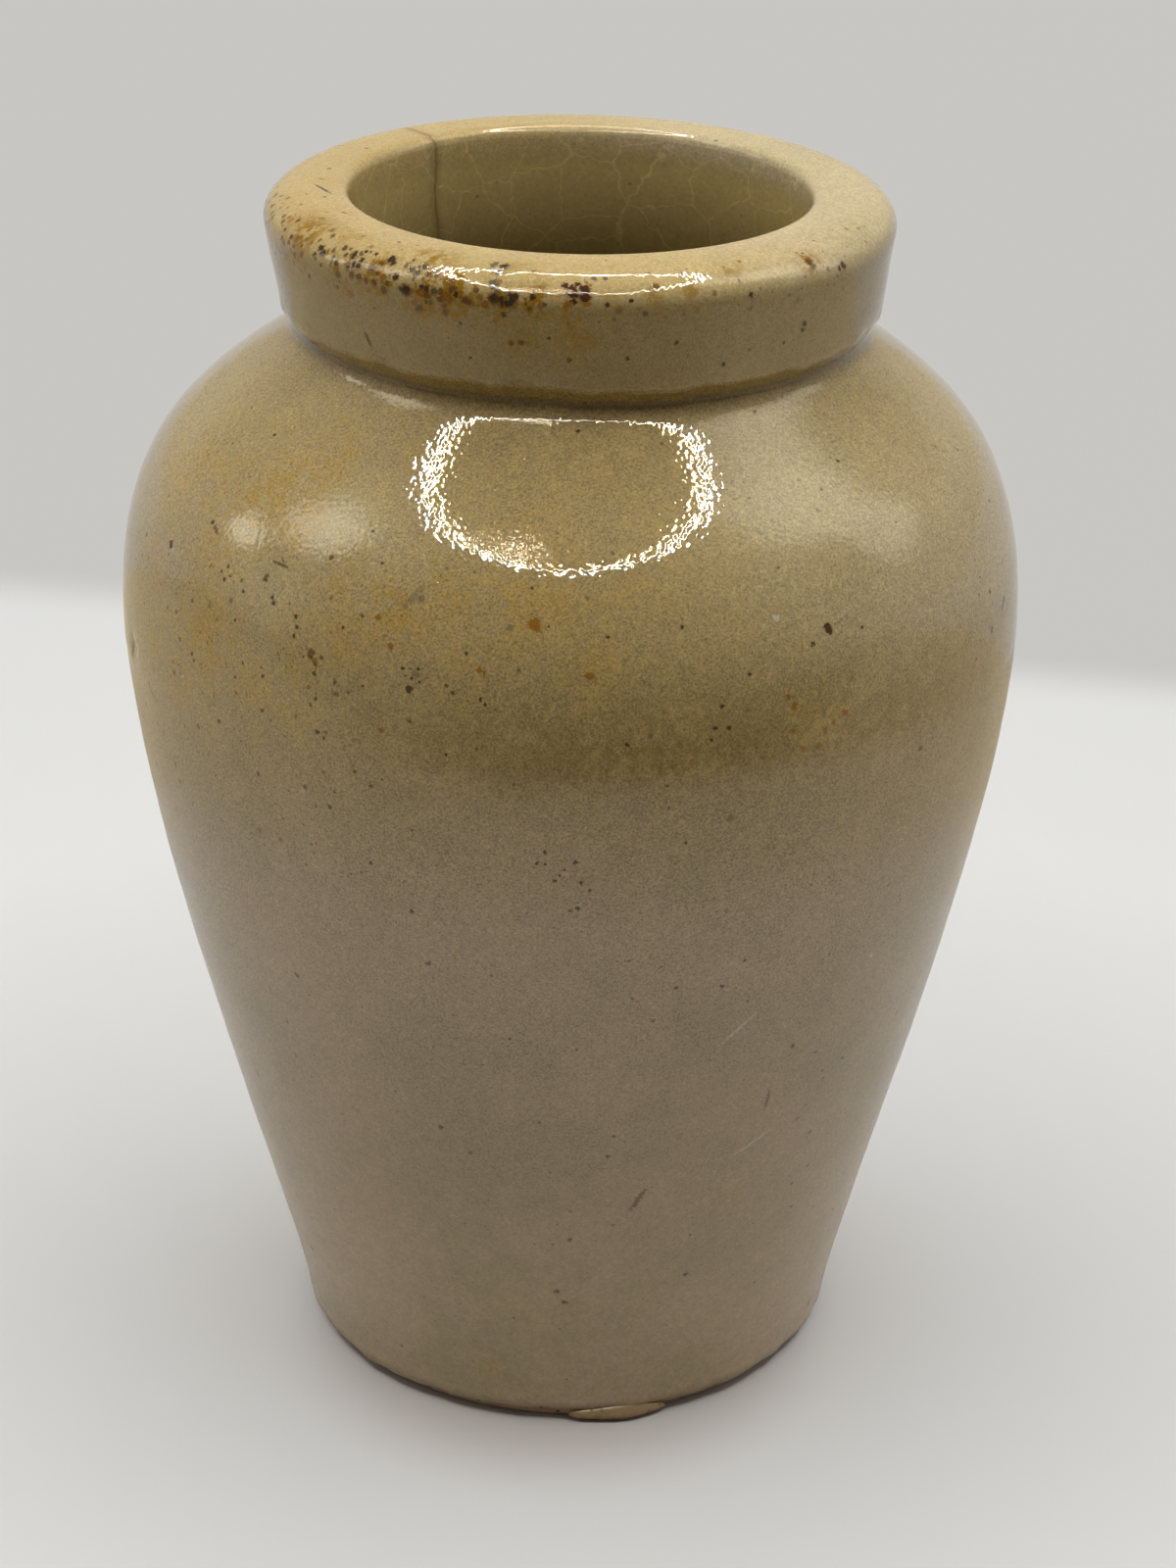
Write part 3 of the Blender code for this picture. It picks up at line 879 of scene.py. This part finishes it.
def mark_masks(nodes, place):
    """The face's own mark, ragged at its edge, and the faint ring round it."""
    centre = nodes.attribute("mark_centre", "Vector")
    along = nodes.attribute("mark_along", "Vector")
    offset = nodes.vector("SUBTRACT", place, centre)
    lengthwise = nodes.vector("DOT_PRODUCT", offset, along)
    squared = nodes.vector("DOT_PRODUCT", offset, offset)
    lengthwise = nodes.times(lengthwise, lengthwise)
    saved = nodes.times(lengthwise, nodes.attribute("mark_flattening"))
    rest = nodes.math("MAXIMUM", nodes.math("SUBTRACT", squared, saved), 0.0)
    radius = nodes.attribute("mark_radius")
    ratio = nodes.math("DIVIDE", nodes.math("SQRT", rest), radius)
    inverse = nodes.math("DIVIDE", 1.0, radius)
    shape = nodes.noise(nodes.vector("SCALE", place, scale=inverse), 1.3, 3.0, 0.65)
    ratio = nodes.plus(ratio, around_middle(nodes, shape, MARK_RAGGED))
    strength = nodes.attribute("mark_colour", "Alpha")
    return (nodes.times(nodes.step(ratio, 1.30, 0.85), strength),
            nodes.times(nodes.step(ratio, 2.1, 1.0), strength))


def around_middle(nodes, value, depth):
    """A noise value turned into plus or minus about half of the depth."""
    return nodes.times(nodes.math("SUBTRACT", value, 0.5), depth)


def stained(nodes, colour, place, patch, mottle):
    """Iron stains, broken into blotches, with flecks where they are strong."""
    blotch = nodes.plus(nodes.times(patch, 0.6), nodes.times(mottle, 0.4))
    soft = nodes.step(blotch, 0.42, 0.60, 0.25, 1.0)
    broken = nodes.step(blotch, 0.46, 0.56, 0.12, 1.0)
    flecks = specks(nodes, place, 0.75, 0.16, 0.6)
    # cream patches: paler glaze, and partly a painted highlight where the soft boxes' sheen falls
    colour = nodes.mix(nodes.times(nodes.attribute("cream"), 0.6), colour, CREAM_STAIN_AND_SHEEN)
    for kind, stain, depth, shape in (("ochre", OCHRE_STAIN, 0.95, soft),
                                      ("rim_peach", PEACH_STAIN, 1.0, broken),
                                      ("rim_yellow", YELLOW_STAIN, 1.9, broken)):
        amount = nodes.attribute(kind)
        shown = nodes.times(nodes.times(amount, shape), depth, True)
        colour = nodes.mix(shown, colour, stain)
        spotted = nodes.times(flecks, nodes.step(amount, 0.15, 0.8, 0.0, 0.55))
        colour = nodes.mix(spotted, colour, RUST)
    return colour


def glaze_material(name, craze_size, craze_strength):
    """The glaze of one coat, with the size in millimetres and the strength of its crazing.

    All coats share it, and each shows what its own fields ask for.
    """
    material, nodes, shader = new_material(name)
    place = nodes.millimetres()
    cloud = nodes.noise(place, 13.0, 3.0, 0.55)
    patch = nodes.noise(place, 3.6, 4.0, 0.6)
    mottle = nodes.noise(place, 0.9, 3.0, 0.6)
    grain = nodes.noise(place, 0.18, 2.0, 0.8)
    coarse = nodes.noise(place, 0.36, 2.0, 0.6)
    warmth = nodes.attribute("warmth")

    tint = nodes.step(nodes.plus(cloud, around_middle(nodes, patch, 0.5)), 0.35, 0.65)
    lower = nodes.mix(tint, LOWER_COAT, LOWER_COAT_PINK)
    bloom = nodes.plus(patch, around_middle(nodes, mottle, 0.6))
    bloom = nodes.step(bloom, 0.46, 0.64, 0.0, 0.34)
    lit_crown = nodes.attribute("lit_crown")
    pale = nodes.attribute("pale")
    # painted light: the shoulder is painted lighter where the light from above falls
    upper = nodes.mix(lit_crown, UPPER_COAT, UPPER_COAT_LIT_CROWN)
    upper = nodes.mix(nodes.times(nodes.attribute("left"), 0.9), upper, UPPER_COAT_LEFT)
    upper = nodes.mix(bloom, upper, UPPER_COAT_BLOOM)
    paler = nodes.times(pale, nodes.step(lit_crown, 0.0, 1.0, 0.30, 1.0))
    upper = nodes.mix(paler, upper, UPPER_COAT_PALE)
    colour = nodes.mix(warmth, lower, upper)
    collar = nodes.attribute("collar")
    colour = nodes.mix(collar, colour, COLLAR_COAT)
    rim = nodes.mix(pale, RIM_COAT, RIM_COAT_PALE)
    colour = nodes.mix(nodes.attribute("rim"), colour, rim)
    colour = stained(nodes, colour, place, patch, mottle)
    # painted shade with pooled glaze, darkening the neck crease
    crease = nodes.times(nodes.attribute("crease"), 0.78)
    colour = nodes.mix(crease, colour, CREASE_POOL_AND_SHADE)
    colour = nodes.mix(nodes.times(nodes.attribute("olive"), 0.9), colour, OLIVE_GLAZE)
    # painted shade with pooled glaze, darker down the inside
    liner = nodes.mix(nodes.attribute("pooled_and_shaded"), LINER_COAT, POOLED_GLAZE_AND_SHADE)

    # broad and fine unevenness of the tone, least on the foot and the collar, and painted light
    # towards the foot
    calm = 1.0
    for layer, depth in ((cloud, 0.24), (patch, 0.16), (mottle, 0.22), (coarse, 0.42)):
        calm = nodes.plus(calm, around_middle(nodes, layer, depth))
    height = nodes.height(place)
    grain_depth = nodes.times(nodes.step(height, 8.0, 62.0, 0.35, 1.60),
                              nodes.step(collar, 0.0, 0.9, 1.0, 0.55))
    # painted light: the tone is lifted from 0.97 above 34 mm to 1.10 at the foot
    calm = nodes.times(calm, nodes.step(height, 34.0, 6.0, 0.97, 1.10))
    grainy = nodes.plus(calm, around_middle(nodes, grain, grain_depth))
    outside = nodes.vector("SCALE", colour, scale=grainy)
    liner = nodes.vector("SCALE", liner, scale=calm)
    colour = nodes.mix(nodes.attribute("inside"), outside, liner)

    fine_specks = specks(nodes, place, 0.9, 0.11, 0.6)
    elsewhere = nodes.vector("ADD", place, (40.0, 7.0, 3.0))
    large_specks = specks(nodes, elsewhere, 3.4, 0.20, 0.5)
    colour = nodes.mix(nodes.times(fine_specks, 0.40), colour, SPECK)
    colour = nodes.mix(nodes.times(large_specks, 0.55), colour, SPECK)

    # crazing, the crack down the inside of the neck, the brown foot edge and the marks
    warp = nodes.add("ShaderNodeTexNoise", {"Vector": place, "Scale": 0.7, "Detail": 2.0})
    warped = nodes.vector("ADD", place, nodes.vector("SCALE", warp.outputs["Color"], scale=1.2))
    lines = nodes.cells(warped, craze_size, "DISTANCE_TO_EDGE")
    craze = nodes.step(lines, 0.020, 0.003, 0.0, craze_strength)
    colour = nodes.mix(craze, colour, nodes.vector("SCALE", colour, scale=1.45))

    stray = around_middle(nodes, nodes.noise(place, 2.5, 3.0), 0.7)
    crack = nodes.math("ABSOLUTE", nodes.plus(nodes.attribute("crack"), stray))
    crack_line = nodes.step(crack, 0.26, 0.06)
    crack_halo = nodes.step(crack, 0.9, 0.1, 0.0, 0.28)
    crack_share = nodes.math("MAXIMUM", nodes.times(crack_line, 0.55), crack_halo)
    colour = nodes.mix(crack_share, colour, CRACK_STAIN)
    bare_edge = nodes.plus(height, around_middle(nodes, patch, 1.4))
    colour = nodes.mix(nodes.step(bare_edge, 2.5, 1.3, 0.0, 0.6), colour, FOOT_EDGE)
    mask, halo = mark_masks(nodes, place)
    halo = nodes.times(halo, nodes.plus(nodes.attribute("rim_yellow"), 0.15))
    colour = nodes.mix(halo, colour, BROWN)
    colour = nodes.mix(mask, colour, nodes.attribute("mark_colour", "Color"))
    nodes.set(shader.inputs["Base Color"], colour)

    roughness = nodes.step(warmth, 0.4, 1.0, 0.26, 0.04)
    roughness = nodes.plus(roughness, around_middle(nodes, mottle, 0.03))
    nodes.set(shader.inputs["Roughness"], roughness)
    shader.inputs["IOR"].default_value = GLAZE_IOR

    # slow waves, the orange peel that breaks up the glints, pinholes, marks and the crack
    normal = nodes.bump(nodes.noise(place, 3.0, 2.0), 0.012)
    normal = nodes.bump(nodes.noise(place, 0.38, 0.0), 0.0175, normal)
    sunk = nodes.plus(nodes.times(fine_specks, -1.0), nodes.times(mask, -0.6))
    normal = nodes.bump(sunk, 0.010, normal)
    normal = nodes.bump(nodes.times(crack_line, -1.0), 0.03, normal)
    nodes.set(shader.inputs["Normal"], normal)
    return material


def clay_material():
    """Bare fired clay, toasted near the glaze."""
    material, nodes, shader = new_material("stoneware_clay")
    place = nodes.millimetres()
    blotch = nodes.noise(place, 4.0, 4.0, 0.6)
    grit = nodes.noise(place, 0.30, 3.0, 0.65)
    colour = nodes.mix(nodes.step(blotch, 0.35, 0.65), CLAY, CLAY_DARK)
    height = nodes.height(place)
    toasted = nodes.step(height, 0.2, 1.4, 0.0, 0.75)
    colour = nodes.mix(toasted, colour, CLAY_TOASTED)
    colour = nodes.mix(specks(nodes, place, 1.3, 0.22, 0.4), colour, CLAY_GRIT)
    shade = nodes.step(grit, 0.2, 0.8, 0.82, 1.12)
    nodes.set(shader.inputs["Base Color"], nodes.vector("SCALE", colour, scale=shade))
    nodes.set(shader.inputs["Roughness"], nodes.step(blotch, 0.2, 0.8, 0.72, 0.90))
    nodes.set(shader.inputs["Normal"], nodes.bump(grit, 0.06))
    return material


def drip_material():
    """Amber glaze of the run bead, creamy where it meets the foot edge."""
    material, nodes, shader = new_material("drip_glaze")
    place = nodes.millimetres()
    height = nodes.height(place)
    streak = nodes.noise(place, 1.4, 3.0, 0.6)
    lifted = nodes.plus(height, around_middle(nodes, streak, 0.7))
    colour = nodes.mix(nodes.step(lifted, 0.35, 1.05), DRIP_AMBER, DRIP_CREAM)
    colour = nodes.mix(specks(nodes, place, 0.9, 0.15, 0.5), colour, BROWN)
    nodes.set(shader.inputs["Base Color"], colour)
    nodes.set(shader.inputs["Roughness"], nodes.step(streak, 0.2, 0.8, 0.20, 0.36))
    shader.inputs["IOR"].default_value = GLAZE_IOR
    nodes.set(shader.inputs["Normal"], nodes.bump(nodes.noise(place, 0.8, 2.0), 0.01))
    return material


def make_clay():
    """The fired clay under all the glaze, with its bare foot."""
    hidden = ring_lengths(0.6, RUN.length[-1] - 1.0, ((RUN.length[-1], 1.5),))
    under_glaze, _, _ = grid(hidden, AROUND_HIDDEN, CLAY_INSET)
    angle = around(AROUND_HIDDEN)
    rings = []
    for radius, level in BARE_FOOT:
        wave = sway(angle, (7, 0.03, 0.0), (19, 0.02, 1.0)) * smoothstep(15.0, 21.0, radius)
        rings.append(place(radius + wave, np.full_like(angle, level), angle))
    rings = np.concatenate([np.array(rings), under_glaze])
    poles = (on_axis(BARE_FOOT[0][1]), on_axis(FLOOR_LEVEL - CLAY_INSET))
    mesh = make_mesh("clay_body", rings, False, *poles)
    piece = add_piece("clay_body", mesh, clay_material())
    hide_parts("stoneware_body")


def make_drip():
    """The run bead of glaze under the front of the foot edge."""
    steps, sides = 64, 32
    half_turn = DRIP_WIDTH / 2 / DRIP_RADIUS
    turn = -around(sides)
    rise = np.where(np.sin(turn) < 0, 1.0, DRIP_RISE)
    rings = []
    for step in range(1, steps):
        share = -1.0 + 2.0 * step / steps
        width = math.sqrt(1.0 - share * share)
        fullness = width ** 1.2 * (1.0 + 0.10 * math.sin(5.0 * share + 0.8))
        radius = DRIP_RADIUS + DRIP_THICKNESS * fullness * np.cos(turn)
        level = DRIP_LEVEL + DRIP_DEPTH * fullness * np.sin(turn) * rise
        rings.append(place(radius, level, np.full(sides, DRIP_DIRECTION + share * half_turn)))
    ends = [place(np.array(DRIP_RADIUS), np.array(DRIP_LEVEL), np.array(DRIP_DIRECTION + turned))
            for turned in (-half_turn, half_turn)]
    mesh = make_mesh("foot_drip", np.array(rings), False, *ends)
    piece = add_piece("foot_drip", mesh, drip_material())
    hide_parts("foot_glaze_drip")


def make_pot(sight):
    marks = scattered_marks() + seen_marks(sight)
    stains = placed_stains(sight)
    reliefs = [(sight.hit(pixel)[0], width, height) for pixel, width, height in RELIEFS]
    first = glaze_material("lower_glaze", *CRAZE_OUTSIDE)
    second = glaze_material("upper_glaze", *CRAZE_OUTSIDE)
    liner = glaze_material("liner_glaze", *CRAZE_INSIDE)
    for name, node, start, end, material in (
            ("lower_coat", "lower_glaze", 0.0, DIP_LENGTH, first),
            ("upper_coat", "upper_glaze", DIP_LENGTH, MOUTH_LENGTH, second),
            ("liner_coat", "liner_glaze", MOUTH_LENGTH, RUN.length[-1], liner)):
        piece = glaze_shell(name, start, end, material, marks, stains, reliefs)
        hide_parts(node)
    make_clay()
    make_drip()


# Light: ovals of small lamps overhead, soft boxes and pale walls at the sides and behind.
# The wide oval gives the soft light, and the narrow ones give the glints on the shoulder and lip.
RING_LAMPS = 26
FILL_RING = ((-5.0, -12.0, 490.0), (300.0, 222.0), 34.0, 22.6, (1.0, 1.0, 1.0), (0.0, 360.0))
FILL_FRONT = 0.66
GLINT_CENTRE = (-10.0, -64.0, 500.0)
GLINT_RINGS = (
    # centre, reach, width, radiance, colour, and the arc in degrees
    (GLINT_CENTRE, (178.0, 267.0), 5.0, 85.0, (1.0, 0.76, 0.42), (0.0, 360.0)),
    (GLINT_CENTRE, (188.0, 278.0), 5.0, 95.0, (0.78, 0.90, 1.0), (0.0, 360.0)),
    (GLINT_CENTRE, (154.0, 243.0), 3.0, 90.0, (1.0, 0.90, 0.70), (190.0, 262.0)),
    (GLINT_CENTRE, (128.0, 217.0), 3.0, 95.0, (1.0, 0.80, 0.50), (198.0, 258.0)),
    (GLINT_CENTRE, (102.0, 191.0), 3.0, 90.0, (1.0, 0.84, 0.58), (204.0, 258.0)),
    (GLINT_CENTRE, (80.0, 169.0), 3.0, 70.0, (1.0, 0.84, 0.58), (208.0, 256.0)),
)
BACKGROUND = (0.562, 0.553, 0.530)
FLOOR_COLOUR = (0.80, 0.795, 0.785)
FOOT_SHADE = (0.60, 0.565, 0.54)
FAR_FLOOR_COLOUR = (0.67, 0.67, 0.66)
FLOOR_BOUNCE = (0.58, 0.565, 0.535)
FRONT_BOUNCE = (0.56, 0.54, 0.505)
SOFT_BOXES = (
    # azimuth from the front, elevation, half width in degrees, radiance
    (-100.5, 23.0, 5.0, 3.9),
    (-87.0, 42.5, 8.6, 3.9),
    (97.0, 52.0, 12.0, 2.6),
    (101.0, 28.0, 9.0, 2.0),
)
BOX_COLOUR = (1.0, 0.94, 0.76)
ROOM_SHINE = (0.500, 0.450, 0.345)
FLOOR_SHINE = (0.560, 0.485, 0.350)
AMBIENT = (0.24, 0.237, 0.232)
FRONT_SHARE = 0.03
CEILING_SHARE = 0.45
SIDE_GLOW = (0.36, 0.355, 0.345)
BLACK = (0.0, 0.0, 0.0)
FLOOR_HALF_WIDTH = 3.0
FLOOR_END = (140.0, 156.0)
BACKWARDS = (0.172, 0.985, 0.0)


def make_ring(name, ring, glossy):
    """An oval of area lamps that face down, for shiny reflections or for soft light."""
    middle, (across, deep), width, radiance, colour, (start, end) = ring
    for step in range(RING_LAMPS):
        angle = 2 * math.pi * step / RING_LAMPS
        if not start <= math.degrees(angle) <= end:
            continue
        along = math.atan2(deep * math.cos(angle), -across * math.sin(angle))
        speed = math.hypot(across * math.sin(angle), deep * math.cos(angle))
        span = 2 * math.pi / RING_LAMPS * speed
        data = bpy.data.lights.new(f"{name}_{step:02d}", "AREA")
        data.shape = "RECTANGLE"
        data.size = span * 1.04 * MM
        data.size_y = width * MM
        data.color = colour
        share = 1.0 if glossy else 1.0 + (FILL_FRONT - 1.0) * max(0.0, -math.sin(angle))
        if end - start < 360.0:
            share = math.sin(math.pi * (math.degrees(angle) - start) / (end - start)) ** 2
        data.energy = radiance * share * math.pi * data.size * data.size_y
        lamp = new_object(data.name, data)
        spot = (middle[0] + across * math.cos(angle), middle[1] + deep * math.sin(angle), middle[2])
        lamp.matrix_world = Matrix.Translation(Vector(spot) * MM) @ Matrix.Rotation(along, 4, "Z")
        lamp.visible_camera = False
        lamp.visible_glossy = glossy
        lamp.visible_diffuse = not glossy


def make_world():
    """Walls, ceiling and soft boxes of the room. Shiny rays see other walls than soft light."""
    world = bpy.data.worlds.new("studio")
    bpy.context.scene.world = world
    world.use_nodes = True
    nodes = Nodes(world.node_tree)
    background = world.node_tree.nodes["Background"]
    direction = nodes.add("ShaderNodeTexCoord").outputs["Generated"]
    glow = 0.0
    for azimuth, elevation, half_width, radiance in SOFT_BOXES:
        turn, lift = math.radians(azimuth), math.radians(elevation)
        level = math.cos(lift)
        towards = (math.sin(turn) * level, -math.cos(turn) * level, math.sin(lift))
        facing = nodes.vector("DOT_PRODUCT", direction, towards)
        edge = math.cos(math.radians(half_width * 1.7))
        glow = nodes.plus(glow, nodes.step(facing, edge, 1.0, 0.0, radiance))
    place = nodes.add("ShaderNodeSeparateXYZ", {0: direction}).outputs
    walls = nodes.step(place["Y"], -0.75, -0.05, FRONT_SHARE, 1.0)
    below_ceiling = nodes.step(place["Z"], 0.40, 0.75, 1.0, CEILING_SHARE)
    room = nodes.times(walls, below_ceiling)
    sideways = nodes.math("ABSOLUTE", place["X"])
    sides = nodes.times(nodes.step(sideways, 0.35, 0.90),
                        nodes.step(place["Z"], 0.0, 0.6, 0.55, 1.5))
    path = nodes.add("ShaderNodeLightPath").outputs
    shiny = nodes.math("MAXIMUM", path["Is Glossy Ray"], path["Is Transmission Ray"])
    soft = nodes.vector("ADD", nodes.vector("SCALE", AMBIENT, scale=room),
                        nodes.vector("SCALE", SIDE_GLOW, scale=sides))
    low_wall = nodes.times(walls, nodes.step(place["Z"], 0.15, 0.50, 1.0, 0.06))
    level = nodes.mix(shiny, soft, nodes.vector("SCALE", ROOM_SHINE, scale=low_wall))
    glow = nodes.times(glow, shiny)
    boxes = nodes.vector("SCALE", BOX_COLOUR, scale=glow)
    colour = nodes.mix(path["Is Camera Ray"], nodes.vector("ADD", level, boxes), BACKGROUND)
    nodes.set(background.inputs["Color"], colour)
    background.inputs["Strength"].default_value = 1.0


def make_floor():
    """Pale paper under the pot, which turns into the background where it ends."""
    half = FLOOR_HALF_WIDTH
    mesh = bpy.data.meshes.new("floor")
    mesh.from_pydata([(-half, -half, 0), (half, -half, 0), (half, half, 0), (-half, half, 0)],
                     [], [(0, 1, 2, 3)])
    floor = new_object("floor", mesh)
    material, nodes, shader = new_material("floor_paper")
    place = nodes.millimetres()
    behind = nodes.vector("DOT_PRODUCT", place, BACKWARDS)
    wall = nodes.step(behind, *FLOOR_END)
    path = nodes.add("ShaderNodeLightPath").outputs
    glossy = path["Is Glossy Ray"]
    seen = nodes.math("MAXIMUM", path["Is Camera Ray"], glossy)
    paper = nodes.mix(nodes.step(behind, -160.0, 120.0), FLOOR_COLOUR, FAR_FLOOR_COLOUR)
    contact = nodes.vector("LENGTH", nodes.vector("ADD", place, (0.0, 9.0, 0.0)))
    # painted shadow: the paper is painted darker in front of the foot
    paper = nodes.mix(nodes.step(contact, 26.0, 15.5), paper, FOOT_SHADE)
    far_shine = nodes.step(nodes.vector("LENGTH", place), 80.0, 125.0)
    paper = nodes.mix(nodes.times(glossy, far_shine), paper, FLOOR_SHINE)
    paper = nodes.mix(wall, paper, BLACK)
    in_front = nodes.add("ShaderNodeSeparateXYZ", {0: place}).outputs["Y"]
    faded = nodes.times(glossy, nodes.step(in_front, -90.0, -190.0, 0.0, 0.9))
    paper = nodes.mix(faded, paper, BLACK)
    bounce = nodes.mix(nodes.step(in_front, -25.0, -110.0), FLOOR_BOUNCE, FRONT_BOUNCE)
    nodes.set(shader.inputs["Base Color"], nodes.mix(seen, bounce, paper))
    shader.inputs["Emission Color"].default_value = (*BACKGROUND, 1.0)
    nodes.set(shader.inputs["Emission Strength"], nodes.times(wall, seen))
    shader.inputs["Roughness"].default_value = 0.7
    shader.inputs["Specular IOR Level"].default_value = 0.2
    mesh.materials.append(material)


bpy.context.scene.view_settings.view_transform = "Standard"
make_pot(Sight(make_camera()))
make_ring("fill_lamp", FILL_RING, False)
for number, glint_ring in enumerate(GLINT_RINGS):
    make_ring(f"glint_lamp_{number}", glint_ring, True)
make_world()
make_floor()

bpy.context.view_layer.update()
